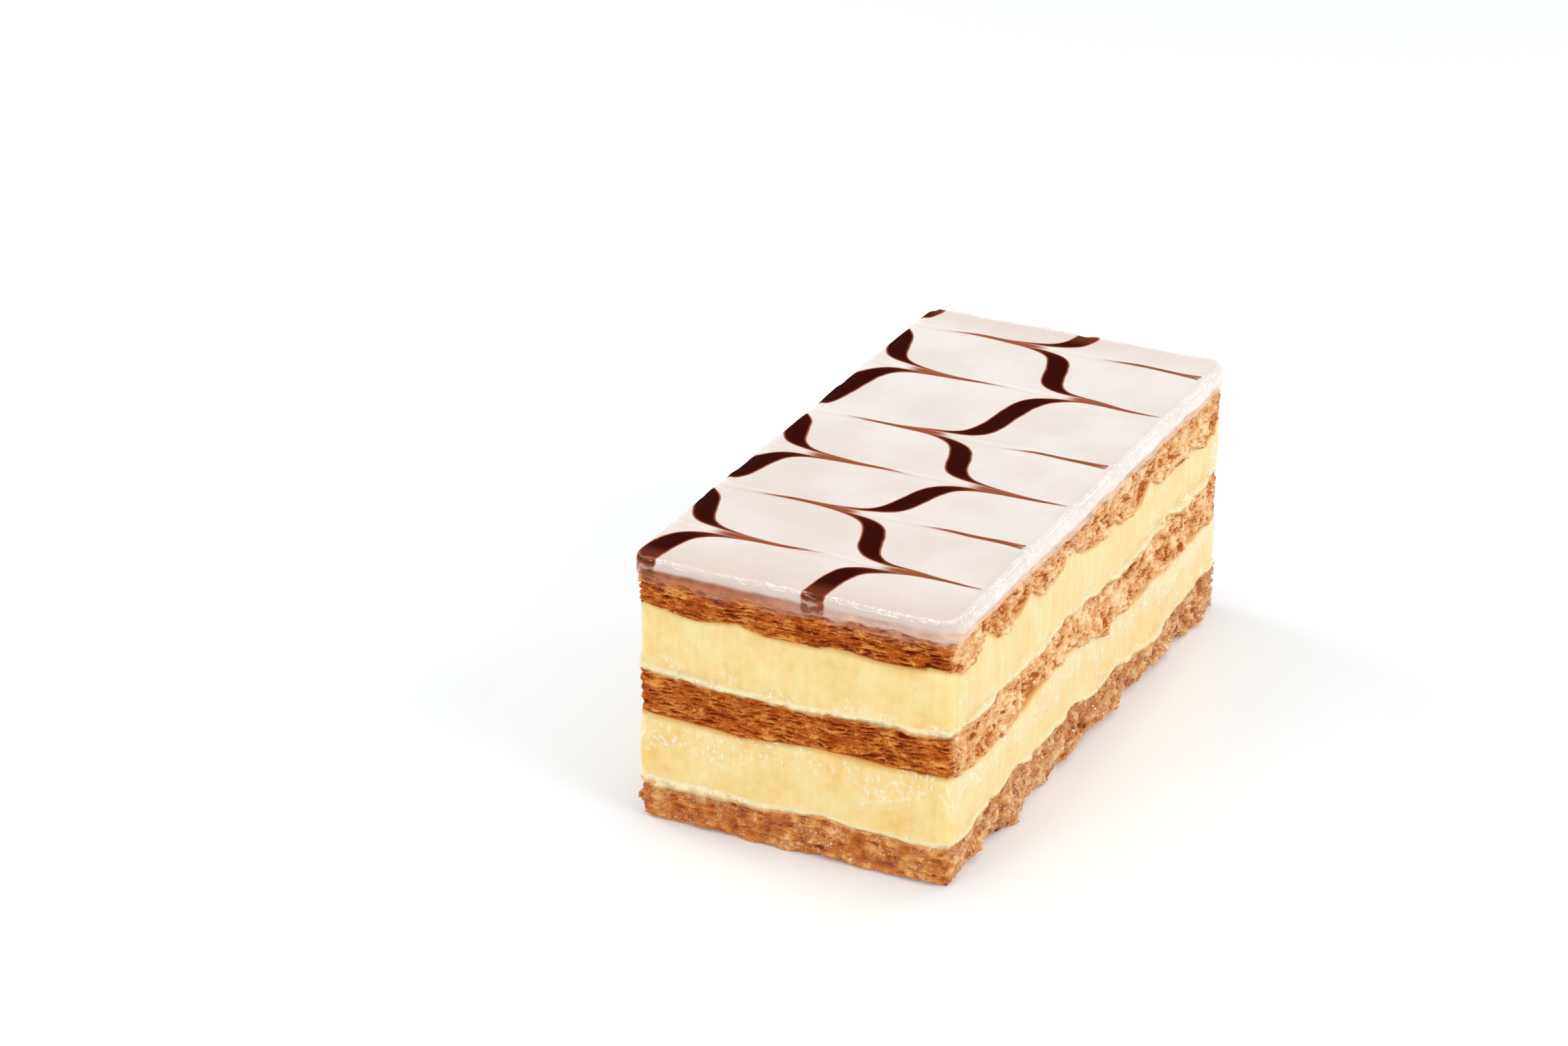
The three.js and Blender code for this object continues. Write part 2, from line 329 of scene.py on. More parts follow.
def fieldOf(tree, kind, inputs=None, output=0, **settings):
    return Field(newNode(tree, kind, inputs, **settings).outputs[output])


def calc(operation, *values):
    first = next(value for value in values if isinstance(value, Field))
    inputs = dict(enumerate(values)) if operation != "SCALE" else {0: values[0], "Scale": values[1]}
    kind = "ShaderNodeVectorMath" if first.isVector else "ShaderNodeMath"
    return fieldOf(first.tree, kind, inputs, operation=operation)


def partsOf(vector):
    return [Field(part) for part in newNode(vector.tree, "ShaderNodeSeparateXYZ", {0: vector}).outputs]


def vectorOf(x, y, z):
    return fieldOf(x.tree, "ShaderNodeCombineXYZ", {0: x, 1: y, 2: z})


def noiseOf(position, scale, detail=2.0, roughness=0.5, w=None, output=0):
    inputs = {"Vector": position, "Scale": scale, "Detail": detail, "Roughness": roughness}
    if w is not None:
        inputs["W"] = w
    dimensions = "3D" if w is None else "4D"
    return fieldOf(position.tree, "ShaderNodeTexNoise", inputs, output, noise_dimensions=dimensions)


def fadeBetween(value, low, high):  # 0 at low, 1 at high, eased
    inputs = {"Value": value, "From Min": low, "From Max": high}
    return fieldOf(value.tree, "ShaderNodeMapRange", inputs, interpolation_type="SMOOTHSTEP", clamp=True)


def spanOf(value, low, high, start=0.0, end=1.0):  # low at start, high at end, straight
    inputs = {"Value": value, "From Min": start, "From Max": end, "To Min": low, "To Max": high}
    return fieldOf(value.tree, "ShaderNodeMapRange", inputs)


def mixOf(share, a, b):  # colour a at 0, b at 1
    inputs = {0: share, 6: a, 7: b}
    return fieldOf(share.tree, "ShaderNodeMix", inputs, 2, data_type="RGBA", clamp_factor=True)


def newTree(name, kind, inputs, outputs):
    # Inputs and outputs are labels, under the kind of their sockets.
    tree = bpy.data.node_groups.new(name, kind)
    for way, sockets in (("INPUT", inputs), ("OUTPUT", outputs)):
        for socket, labels in sockets.items():
            for label in labels:
                tree.interface.new_socket(label, in_out=way, socket_type="NodeSocket" + socket)
    entry = tree.nodes.new("NodeGroupInput")
    given = {socket.name: Field(socket) for socket in entry.outputs if socket.name}
    return tree, given, tree.nodes.new("NodeGroupOutput")


def runTree(blank, tree, values, name):
    # Runs the tree on the blank and keeps the result as a plain mesh.
    modifier = blank.modifiers.new("shaping", "NODES")
    modifier.node_group = tree
    for item in tree.interface.items_tree:
        if item.item_type == "SOCKET" and item.in_out == "INPUT" and item.name in values:
            modifier[item.identifier] = values[item.name]
    graph = bpy.context.evaluated_depsgraph_get()
    mesh = bpy.data.meshes.new_from_object(blank.evaluated_get(graph), depsgraph=graph)
    mesh.name = name
    piece = bpy.data.objects.new(name, mesh)
    bpy.context.scene.collection.objects.link(piece)
    blank.modifiers.remove(modifier)
    return piece


def dropBlank(blank):
    mesh = blank.data
    bpy.data.objects.remove(blank)
    bpy.data.meshes.remove(mesh)


def srgb(red, green, blue):
    def linear(c):
        c = c / 255
        return c / 12.92 if c <= 0.04045 else ((c + 0.055) / 1.055) ** 2.4

    return (linear(red), linear(green), linear(blue), 1)


# Relief of the cut sides: leaves, air pockets, knobs and crumb

reliefSizes = (
    "Leaf Height",
    "Leaf Depth",
    "Leaf Waver",
    "Tear Depth",
    "Pocket Depth",
    "Pocket Width",
    "Knob Size",
    "Knob Depth",
    "End Knobs",
    "Crumb Depth",
    "Seed",
)


def namedValue(tree, name, kind="FLOAT"):
    return fieldOf(tree, "GeometryNodeInputNamedAttribute", {"Name": name}, data_type=kind)


def coatedIn(geometry, material, where=True):
    inputs = {"Geometry": geometry, "Selection": where, "Material": material}
    return fieldOf(geometry.tree, "GeometryNodeSetMaterial", inputs)


def buildSideRelief():
    inputs = {"Geometry": ["Layer"], "Float": reliefSizes, "Material": ["Material", "Film Material"]}
    tree, given, result = newTree("sideRelief", "GeometryNodeTree", inputs, {"Geometry": ["Layer"]})
    place = fieldOf(tree, "GeometryNodeInputPosition") * perMetre  # in millimetres
    place = place + vectorOf(given["Seed"], given["Seed"], given["Seed"])
    onLong = namedValue(tree, "longSide")
    outward = namedValue(tree, "outward", "FLOAT_VECTOR")
    height = partsOf(place)[2]

    # Leaves: thin shelves with a gap between each two, wavering up and down
    waver = (noiseOf(place, 0.2, 4.0, 0.6) - 0.5) * given["Leaf Waver"]
    leaves = (height + waver) / given["Leaf Height"]
    gap = 1.0 - fadeBetween(calc("PINGPONG", leaves, 0.5), 0.0, 0.26)
    leafNumber = calc("ROUND", leaves - 0.5)
    gapNumber = calc("ROUND", leaves)
    openness = noiseOf(place, 0.6, w=gapNumber * 3.7)
    openGap = gap * fadeBetween(openness, 0.44, 0.62)
    torn = (noiseOf(place, 0.6, 3.0, w=leafNumber * 5.3) - 0.5) * given["Tear Depth"] * 2.0

    # Air pockets: flat on the cut ends, rounder on the long sides
    wide = 1.0 / given["Pocket Width"]
    flatPlace = place * vectorOf(wide, wide, 1.15 - onLong * 0.45)
    flatPlace = flatPlace + noiseOf(flatPlace, 1.3, output=1) * 0.9
    cells = fieldOf(tree, "ShaderNodeTexVoronoi", {"Vector": flatPlace, "Scale": 1.0})
    some = fadeBetween(noiseOf(place, 0.13, 1.0), 0.42, 0.62)
    pocket = (1.0 - fadeBetween(cells, 0.08, 0.46)) * some

    # Knobs and crumb, mostly on the long sides
    knobShare = onLong * (1.0 - given["End Knobs"]) + given["End Knobs"]
    knob = (noiseOf(place, 1.0 / given["Knob Size"]) - 0.5) * knobShare * given["Knob Depth"] * 3.0
    crumbShare = onLong * 0.6 + 0.4
    crumb = (noiseOf(place, 1.5, 3.0, 0.6) - 0.5) * crumbShare * given["Crumb Depth"] * 3.0

    gapDepth = openGap * given["Leaf Depth"] * (onLong * -0.55 + 1.0)
    pocketDepth = pocket * given["Pocket Depth"] * (onLong * 0.6 + 1.0)
    inward = gapDepth + pocketDepth
    offset = torn + knob + crumb - inward
    # How deep each point lies in the side: drives painted shade in the hollows and painted light where it
    # stands out.
    hollow = (offset * -1.1 + 0.35 + inward * 0.5).clamped()
    moved = {"Geometry": given["Layer"], "Offset": outward * (offset * mm)}
    shaped = fieldOf(tree, "GeometryNodeSetPosition", moved)
    marked = {"Geometry": shaped, "Name": "hollow", "Value": hollow}
    marked = fieldOf(tree, "GeometryNodeStoreNamedAttribute", marked, data_type="FLOAT", domain="POINT")
    real = fieldOf(tree, "GeometryNodeRealizeInstances", {"Geometry": marked})
    coated = coatedIn(real, given["Material"])
    isFilm = calc("GREATER_THAN", namedValue(tree, "film"), 0.02)
    setSockets(result, {"Layer": coatedIn(coated, given["Film Material"], isFilm)})
    return tree


# Loose flakes and crumbs standing out of the sides

def buildFlakeScatter():
    inputs = {
        "Geometry": ["Layer"],
        "Object": ["Flake"],
        "Float": ["Density", "End Share", "Smallest", "Largest", "Tilt"],
        "Int": ["Seed"],
        "Material": ["Material"],
    }
    tree, given, result = newTree("flakeScatter", "GeometryNodeTree", inputs, {"Geometry": ["Flakes"]})
    shareHere = namedValue(tree, "longSide") * (1.0 - given["End Share"]) + given["End Share"]
    where = calc("GREATER_THAN", namedValue(tree, "sideMask"), 0.5)
    density = given["Density"] * 1e6 * where * shareHere  # from each square millimetre
    spread = {"Mesh": given["Layer"], "Density": density, "Seed": given["Seed"]}
    points = fieldOf(tree, "GeometryNodeDistributePointsOnFaces", spread)
    # A flake's own X points out of the side, and its Z up
    outward = calc("NORMALIZE", namedValue(tree, "outward", "FLOAT_VECTOR"))
    align = "FunctionNodeAlignRotationToVector"
    facing = fieldOf(tree, align, {"Vector": outward}, axis="X", pivot_axis="Z")
    turn = fieldOf(tree, "FunctionNodeRandomValue", {"Seed": given["Seed"]}, data_type="FLOAT_VECTOR")
    turn = (turn - (0.5, 0.5, 0.5)) * (1.2, 1.0, 1.6) * given["Tilt"]
    turned = {"Rotation": facing, "Rotate By": turn}
    turned = fieldOf(tree, "FunctionNodeRotateRotation", turned, rotation_space="LOCAL")
    sizes = {2: given["Smallest"], 3: given["Largest"], "Seed": given["Seed"] + 7.0}
    size = fieldOf(tree, "FunctionNodeRandomValue", sizes, 1, data_type="FLOAT")
    shape = fieldOf(tree, "GeometryNodeObjectInfo", {"Object": given["Flake"]}, "Geometry")
    placed = {"Points": points, "Instance": shape, "Rotation": turned, "Scale": size}
    placed = fieldOf(tree, "GeometryNodeInstanceOnPoints", placed)
    real = fieldOf(tree, "GeometryNodeRealizeInstances", {"Geometry": placed})
    setSockets(result, {"Flakes": coatedIn(real, given["Material"])})
    return tree


def flakeShape(name, size, thickness, lift, seed):
    # A torn scrap of leaf: a ragged plate with a bent tip, closed all round.
    steps = 8
    angles = np.arange(steps) * 2 * math.pi / steps
    radius = 0.75 + 0.5 * hashAt(np.arange(steps), seed)
    x, y = size[0] / 2 * radius * np.cos(angles), size[1] / 2 * radius * np.sin(angles)
    z = lift * (x / size[0]) * (0.5 + hashAt(np.arange(steps) + 20, seed))
    top = np.column_stack([x, y, z + thickness / 2])
    low = np.column_stack([x, y, z - thickness / 2])
    middle = np.array([[0, 0, thickness * 0.8], [0, 0, -thickness * 0.6]])
    points = np.concatenate([top, low, middle])
    faces = []
    for i in range(steps):
        j = (i + 1) % steps
        faces += [(i, j, 2 * steps), (steps + j, steps + i, 2 * steps + 1), (steps + i, steps + j, j, i)]
    # Loose flakes stand out, so they take a light, even painted shade.
    return meshFrom(name, points, faces, {"hollow": ("FLOAT", np.full(len(points), 0.3))})


def crumbShape(name, size, seed):
    # A rounded, uneven lump of crumb, closed all round.
    around, levels, unevenness = 7, 5, 0.5
    points, faces = [(0, 0, -size / 2)], []
    for level in range(1, levels):
        tilt = math.pi * level / levels
        for i in range(around):
            turn = 2 * math.pi * i / around
            radius = size / 2 * (1 + unevenness * (hashAt(level * around + i, seed) - 0.5))
            out = radius * math.sin(tilt)
            points.append((out * math.cos(turn), out * math.sin(turn), -radius * math.cos(tilt)))
    points.append((0, 0, size / 2))
    last = len(points) - 1
    for i in range(around):
        j = (i + 1) % around
        faces.append((0, 1 + j, 1 + i))
        for level in range(levels - 2):
            a, b = 1 + level * around, 1 + (level + 1) * around
            faces.append((a + i, a + j, b + j, b + i))
        a = 1 + (levels - 2) * around
        faces.append((a + i, a + j, last))
    # Loose crumbs stand out, so they take a light, even painted shade.
    return meshFrom(name, np.array(points), faces, {"hollow": ("FLOAT", np.full(len(points), 0.2))})


# Shared shading groups

feathering = {
    "First Band": 1.2,
    "Band Pitch": 26.8,
    "Band Width": 3.5,
    "Pull": 22.0,
    "Reach": 0.42,
    "Pick Radius": 0.16,
    "Smear": 0.8,
    "Edge Blur": 0.55,
    "Last Band": 36.0,  # beyond here the last band lies further out
    "Outer Spread": 0.2,
}
pickLines = [12.3, 27.1, 42.5, 57.5, 78.2, 94.8]


def buildFeatherField():
    # Straight bands of chocolate, pulled to and fro where a pick was drawn across them.
    inputs = {"Vector": ["Position"], "Float": feathering}
    tree, given, result = newTree("featherField", "ShaderNodeTree", inputs, {"Float": ["Chocolate"]})
    place = given["Position"] * perMetre + (halfWidth, halfLength, 0)
    across, along, _ = partsOf(place)
    along = (noiseOf(place, 0.07, 1.0) - 0.5) * 1.6 + along
    across = (noiseOf(place, 0.35) - 0.5) * 0.4 + across
    shift, slope, tails = 0.0, 0.0, 0.0
    for k, line in enumerate(pickLines):
        way = 1.0 if k % 2 == 0 else -1.0
        fromLine = calc("ABSOLUTE", along - line)
        distance = calc("MAXIMUM", fromLine - given["Pick Radius"], 0.0)
        reachHere = distance + given["Reach"]
        pullHere = given["Reach"] / reachHere * given["Pull"]
        shift = shift + pullHere * way
        slope = slope + pullHere / reachHere
        # the pick drags a thinning tail from each band on towards the next
        drag = calc("FLOORED_MODULO", (across - given["First Band"]) * way / given["Band Pitch"], 1.0)
        tail = 1.0 - fadeBetween(fromLine / (drag * -0.95 + 1.05), 0.6, 1.0)
        tail = tail * (1.0 - fadeBetween(drag, 0.6, 1.0)) * fadeBetween(drag, 0.12, 0.3)
        tails = calc("MAXIMUM", tails, tail)
    origin = across - shift - given["First Band"]
    past = calc("MAXIMUM", origin - given["Last Band"], 0.0)
    origin = origin - past * given["Outer Spread"]
    fromBand = calc("PINGPONG", origin, given["Band Pitch"] / 2.0)
    blur = calc("SQRT", slope * slope + 1.0) * given["Edge Blur"]
    chocolate = ((given["Band Width"] / 2.0 - fromBand) / blur + 0.5).clamped()
    thinned = calc("ABSOLUTE", shift / given["Pull"]) * given["Smear"]
    chocolate = calc("MAXIMUM", chocolate * (1.0 - thinned), tails * 0.45)
    setSockets(result, {"Chocolate": chocolate})
    return tree


crustColours = ("End Light", "End Middle", "End Dark", "Side Light", "Side Middle", "Side Dark", "Skin")


def buildCrustGrain():
    # Colour and gloss of baked leaves: fibres along the leaves, painted shade in hollows and thin cracks
    # with painted light where the side stands out, brown skins.
    inputs = {
        "Vector": ["Position"],
        "Float": ["Hollow Shade", "Long Side", "Layer Share", "Leafiness"],
        "Color": crustColours,
    }
    outputs = {"Color": ["Color"], "Float": ["Gloss", "Height"]}
    tree, given, result = newTree("crustGrain", "ShaderNodeTree", inputs, outputs)
    onLong, leafiness = given["Long Side"], given["Leafiness"]
    place = given["Position"] * perMetre
    bentPlace = place + noiseOf(place, 0.45, output=1) * 1.3
    fibre = noiseOf(bentPlace * (0.7, 0.7, 2.4), 1.0, 5.0, 0.6)
    cells = {"Vector": bentPlace, "Scale": 1.5}
    grain = 0.9 - fieldOf(tree, "ShaderNodeTexVoronoi", cells, feature="SMOOTH_F1")
    # Painted shade: thin dark lines standing for cracks between the leaves.
    crackShade = calc("ABSOLUTE", noiseOf(bentPlace * (0.26, 0.26, 1.5), 1.0) - 0.5)
    crackShade = 1.0 - fadeBetween(crackShade, 0.004, 0.03)
    patch = noiseOf(place, 0.22, 3.0)
    fine = noiseOf(place, 3.0, 3.0)
    leafy = leafiness * (onLong * -0.7 + 1.0)
    crackShadeHere = crackShade * fadeBetween(patch, 0.42, 0.58) * leafy
    tone = (fibre - 0.5) * leafy * 0.85 + 0.56
    tone = (patch - 0.5) * 0.9 + tone
    tone = (fine - 0.5) * 0.6 + tone
    tone = crackShadeHere * -0.3 + tone
    # Painted shade in the hollows, and painted light where the side stands out.
    tone = ((given["Hollow Shade"] - 0.35) * (leafiness * -0.35 - 0.75) + tone).clamped()
    darkShare = fadeBetween(tone, 0.08, 0.5)
    lightShare = fadeBetween(tone, 0.45, 0.85)
    baked = []
    for part in ("End", "Side"):
        browned = mixOf(darkShare, given[part + " Dark"], given[part + " Middle"])
        baked.append(mixOf(lightShare, browned, given[part + " Light"]))
    colour = mixOf(onLong, *baked)
    skin = 1.0 - fadeBetween(calc("PINGPONG", given["Layer Share"], 0.5), 0.015, 0.09)
    skin = (skin * (patch * 1.2 - 0.1)).clamped()
    colour = mixOf(skin * 0.6, colour, given["Skin"])
    roundShare = calc("MAXIMUM", onLong * 0.6, 1.0 - leafiness)
    height = fibre * (roundShare * -0.7 + 1.0) + grain * (roundShare * 0.9) + fine * 0.3
    setSockets(result, {"Color": colour, "Gloss": patch * fine, "Height": height})
    return tree


def newMaterial(name):
    material = bpy.data.materials.new(name)
    material.use_nodes = True
    tree = material.node_tree
    place = fieldOf(tree, "ShaderNodeTexCoord", output="Object")
    return material, tree, tree.nodes["Principled BSDF"], place


def attributeOf(tree, name):
    return fieldOf(tree, "ShaderNodeAttribute", output="Fac", attribute_name=name)


def bumpFrom(height, distance, strength):
    inputs = {"Height": height, "Distance": distance * mm, "Strength": strength}
    return fieldOf(height.tree, "ShaderNodeBump", inputs)


print("frame loaded, outline and node helpers ready")

# Pastry

pastry = {
    "spacing": 0.25,  # along the sides
    "rowHeight": 0.1,
    "leafCount": 5,  # the main ledges, as in the solid
    "leafOut": 0.3,
    "leafGapIn": 0.55,
    "sideLeafLoss": 0.45,  # how much flatter the ledges are on the long sides
    "tearPitch": 6,
    "tearDepth": 0.4,
    "nickPitch": 2.6,
    "nickDepth": 0.3,
    "cragPitch": 4.2,
    "cragRows": 2.6,
    "cragDepth": 0.85,
    "endTearShare": 0.45,
    "ledgeShare": 0.35,  # how much of the solid's stepped ledges the fine leaves leave
    "looks": {  # end light, middle, dark; side light, middle, dark
        "upper": (
            (236, 160, 72), (190, 88, 0), (126, 42, 0),
            (253, 220, 172), (236, 176, 114), (184, 98, 28),
        ),
        "foot": (
            (236, 170, 86), (204, 112, 16), (150, 62, 0),
            (236, 186, 124), (208, 134, 68), (160, 76, 16),
        ),
    },
    "skin": (206, 124, 44),
    "roughness": (0.35, 0.7),
    "specular": 0.16,
    "bump": (0.35, 0.7),  # depth and strength
    "wetCoat": {"upper": 0.04, "foot": 0.7},
    "wetCoatRoughness": {"upper": 0.25, "foot": 0.08},
    "leafiness": {"upper": 1.0, "foot": 0.15},
    "swirlGlintColour": srgb(255, 238, 216),  # painted highlight: glinting swirls where the foot is wettest
    "swirlGlint": {"upper": 0.0, "foot": 0.5},
    "relief": {
        "Leaf Height": 0.62,
        "Leaf Depth": 0.46,
        "Leaf Waver": 2.2,
        "Tear Depth": 0.34,
        "Pocket Depth": 0.5,
        "Pocket Width": 2.6,
        "Knob Size": 2.2,
        "Knob Depth": 0.62,
        "End Knobs": 0.18,
        "Crumb Depth": 0.13,
    },
}


def pastryOffset(seed):
    def offsetAt(at, v):
        v = v + 0 * at["s"]
        phase = v * pastry["leafCount"]
        leaf = np.minimum(np.floor(phase + 1e-6), pastry["leafCount"])
        ledge = 0.5 - 0.5 * np.cos(2 * math.pi * phase)
        step = -pastry["leafGapIn"] + (pastry["leafOut"] + pastry["leafGapIn"]) * ledge
        leafShare = 1 - pastry["sideLeafLoss"] * at["onLong"]
        tornShare = pastry["endTearShare"] + (1 - pastry["endTearShare"]) * at["onLong"]
        torn = 0
        for k, weight in ((leaf, 1 - ease(phase - leaf)), (leaf + 1, ease(phase - leaf))):
            tears = pastry["tearDepth"] * aroundNoise(at["s"], pastry["tearPitch"], seed + k)
            nicks = pastry["nickDepth"] * aroundNoise(at["s"], pastry["nickPitch"], seed + k + 40)
            torn = torn + weight * (tears + nicks) * tornShare
        crag = sideNoise(at["s"], v, pastry["cragPitch"], pastry["cragRows"], seed + 80)
        crag = pastry["cragDepth"] * crag * at["onLong"]
        return step * leafShare * pastry["ledgeShare"] + torn + crag + cornerCut(at)

    return offsetAt


glaze = {
    "startsAt": 40.2,
    "fadesAt": 37.2,
    "strength": 0.55,
    "unevenness": 5.0,  # how far its lower edge wanders
    "colour": srgb(224, 176, 150),
}


def pastryMaterial(name, look, glazed):
    material, tree, shader, place = newMaterial(name)
    inputs = {"Position": place, "Leafiness": pastry["leafiness"][look]}
    for key, label in (("hollow", "Hollow Shade"), ("longSide", "Long Side"), ("layerShare", "Layer Share")):
        inputs[label] = attributeOf(tree, key)
    for label, colour in zip(crustColours, pastry["looks"][look] + (pastry["skin"],)):
        inputs[label] = srgb(*colour)
    group = newNode(tree, "ShaderNodeGroup", node_tree=crustGrain)
    setSockets(group, inputs)
    colour, gloss, height = [Field(group.outputs[name]) for name in ("Color", "Gloss", "Height")]
    smooth, rough = pastry["roughness"]
    roughness = spanOf(gloss, rough, smooth, 0.15, 0.35)
    millimetres = place * perMetre
    if glazed:  # sugar glaze that ran down from the icing
        run = noiseOf(millimetres, 0.16, 3.0) - 0.5
        z = run * glaze["unevenness"] + partsOf(millimetres)[2]
        film = fadeBetween(z, glaze["fadesAt"], glaze["startsAt"]) * glaze["strength"]
        colour = mixOf(film, colour, glaze["colour"])
        roughness = roughness * (film * -0.5 + 1.0)
    if pastry["swirlGlint"][look] > 0:  # painted highlight: bright swirls of glint where the crumb is wet
        swirl = calc("ABSOLUTE", noiseOf(millimetres, 0.75, 1.0) - 0.5)
        swirl = (1.0 - fadeBetween(swirl, 0.005, 0.04)) * fadeBetween(gloss, 0.22, 0.32)
        colour = mixOf(swirl * pastry["swirlGlint"][look], colour, pastry["swirlGlintColour"])
    setSockets(shader, {
        "Base Color": colour,
        "Roughness": roughness,
        "Specular IOR Level": pastry["specular"],
        "Coat Weight": pastry["wetCoat"][look],
        "Coat Roughness": pastry["wetCoatRoughness"][look],
        "Normal": bumpFrom(height, *pastry["bump"]),
    })
    return material


sideRelief = buildSideRelief()
flakeScatter = buildFlakeScatter()
featherField = buildFeatherField()
crustGrain = buildCrustGrain()
footCrust = pastryMaterial("moistPuffPastry", "foot", False)
plainCrust = pastryMaterial("bakedPuffPastry", "upper", False)
glazedCrust = pastryMaterial("glazedPuffPastry", "upper", True)

layers = [
    # piece, node, surfaces below and above, seed, material, changes to the relief
    ("pastryBottomLeaves", "pastry_bottom", "foot", "bottomPastryTop", 100, footCrust,
     {"Leaf Depth": 0.08, "Knob Depth": 0.6, "Knob Size": 1.9, "End Knobs": 0.9, "Tear Depth": 0.14,
      "Pocket Depth": 0.35}),
    ("pastryMiddleLeaves", "pastry_middle", "middlePastryBottom", "middlePastryTop", 300, plainCrust, {}),
    ("pastryTopLeaves", "pastry_top", "topPastryBottom", "icingBottom", 500, glazedCrust, {}),
]
flakes = {
    "long": {"density": 0.3, "endShare": 0.3, "tilt": 0.22},
    "crumb": {"density": 0.4, "endShare": 0.02, "tilt": 3.0},
}
flakeSizes = {"smallest": 0.4, "largest": 1.15}  # times the size of these two
flakeObjects = {
    "long": flakeShape("longFlake", size=(0.8, 2.4), thickness=0.13, lift=0.2, seed=5),
    "crumb": crumbShape("crumbFlake", size=0.6, seed=8),
}
pieces = []
for name, node, low, high, seed, material, changes in layers:
    spacing, rowHeight = pastry["spacing"], pastry["rowHeight"]
    blank = layerBlank(name + "Blank", low, high, spacing, rowHeight, pastryOffset(seed))
    values = {**pastry["relief"], "Seed": float(seed), "Material": material, "Film Material": material}
    values.update(changes)
    piece = runTree(blank, sideRelief, values, name)
    pieces.append((piece, node, "pastry"))
    for kind, v in flakes.items():
        scatter = {
            "Flake": flakeObjects[kind],
            "Density": v["density"],
            "End Share": v["endShare"],
            "Smallest": flakeSizes["smallest"],
            "Largest": flakeSizes["largest"],
            "Tilt": v["tilt"],
            "Seed": seed + len(kind),
            "Material": material,
        }
        loose = runTree(piece, flakeScatter, scatter, name.replace("Leaves", kind.capitalize() + "Flakes"))
        pieces.append((loose, None, "pastry"))
    dropBlank(blank)
    print("pastry layer done:", name, len(piece.data.polygons), "faces")
for thing in flakeObjects.values():
    dropBlank(thing)

# Custard cream

cream = {
    "spacing": 0.36,
    "rowHeight": 0.34,
    "overlap": (0.25, 0.25),  # into the pastry below and above
    "belly": 0.3,
    "swellPitch": 19,
    "swell": 0.35,
    "lipOut": 0.35,  # squeezed out along the pastry below
    "lipReach": (0.1, 0.08),  # shares of the height, at the pastry below and above
    "lipPitch": 2.4,
    "lipSwellPitch": 9,
    "inset": 0.15,
    "filmThickness": 0.38,
    "filmPitch": 1.7,
    "filmSwellPitch": 7,
    "colour": srgb(253, 233, 168),
    "deepColour": srgb(247, 202, 114),
    "sideColour": srgb(246, 212, 158),
    "wetColour": srgb(254, 244, 208),
    # painted highlight: pale dabs standing for wet glints
    "paintedGlintColour": srgb(255, 252, 238),
    "underPastryShadeColour": srgb(226, 160, 74),  # painted shade along the pastry above
    "filmTopColour": srgb(255, 238, 188),
    "filmColour": srgb(252, 214, 140),
    "sideShare": 0.5,
    "wetEdge": (0.08, 0.5),  # share of the height it reaches, and its strength
    # painted shade under the pastry above: share of the height it reaches, and its strength
    "underPastryShadeEdge": (0.1, 0.8),
    "dampReach": 0.4,
    "paintedGlintShare": 0.7,
    "roughness": (0.45, 0.25),  # dry and damp
    "dampCoat": 0.4,
    "bump": (0.14, 0.8),
    "filmBump": (0.8, 0.9),
    "finish": {
        "Specular IOR Level": 0.4,
        "Coat Roughness": 0.06,
        "Subsurface Weight": 0.3,
        "Subsurface Scale": 1.2 * mm,
        "Subsurface Radius": (1.0, 0.8, 0.35),
    },
    "filmFinish": {"Roughness": 0.15, "Specular IOR Level": 0.6},
    "relief": {
        "Leaf Height": 40.0,
        "Leaf Depth": 0.0,
        "Leaf Waver": 0.0,
        "Tear Depth": 0.05,
        "Pocket Depth": 0.0,
        "Pocket Width": 2.2,
        "Knob Size": 3.6,
        "Knob Depth": 0.1,
        "End Knobs": 0.7,
        "Crumb Depth": 0.0,
    },
}


def creamOffset(seed):
    def offsetAt(at, v):
        belly = cream["belly"] * (1 - (2 * v - 1) ** 2)
        wave = cream["swell"] * aroundNoise(at["s"], cream["swellPitch"], seed)
        low, high = cream["lipReach"]
        lip = math.exp(-((v / low) ** 2)) + 0.5 * math.exp(-(((1 - v) / high) ** 2))
        ragged = aroundShare(at["s"], cream["lipPitch"], seed + 60)
        ragged = ragged * aroundShare(at["s"], cream["lipSwellPitch"], seed + 61)
        return belly + wave + cornerCut(at) - cream["inset"] + cream["lipOut"] * lip * ragged * 2

    return offsetAt


def creamHang(at, t, side):
    # How far down and out the film lies, a share t of its way down the pastry below.
    ragged = aroundShare(at["s"], cream["filmPitch"], side["seed"])
    wide = aroundShare(at["s"], cream["filmSwellPitch"], side["seed"] + 1)
    smear = np.exp(-(((at["s"] - side["smearAt"]) / side["smearWidth"]) ** 2))
    drop = side["drop"] * (0.35 + ragged * wide) + side["smearDrop"] * smear * (0.7 + 0.5 * ragged)
    below = pastryOffset(side["pastrySeed"])(at, 1 - drop * t / side["pastryHeight"])
    return drop * t, below + cream["filmThickness"] * (1 - 0.6 * t)


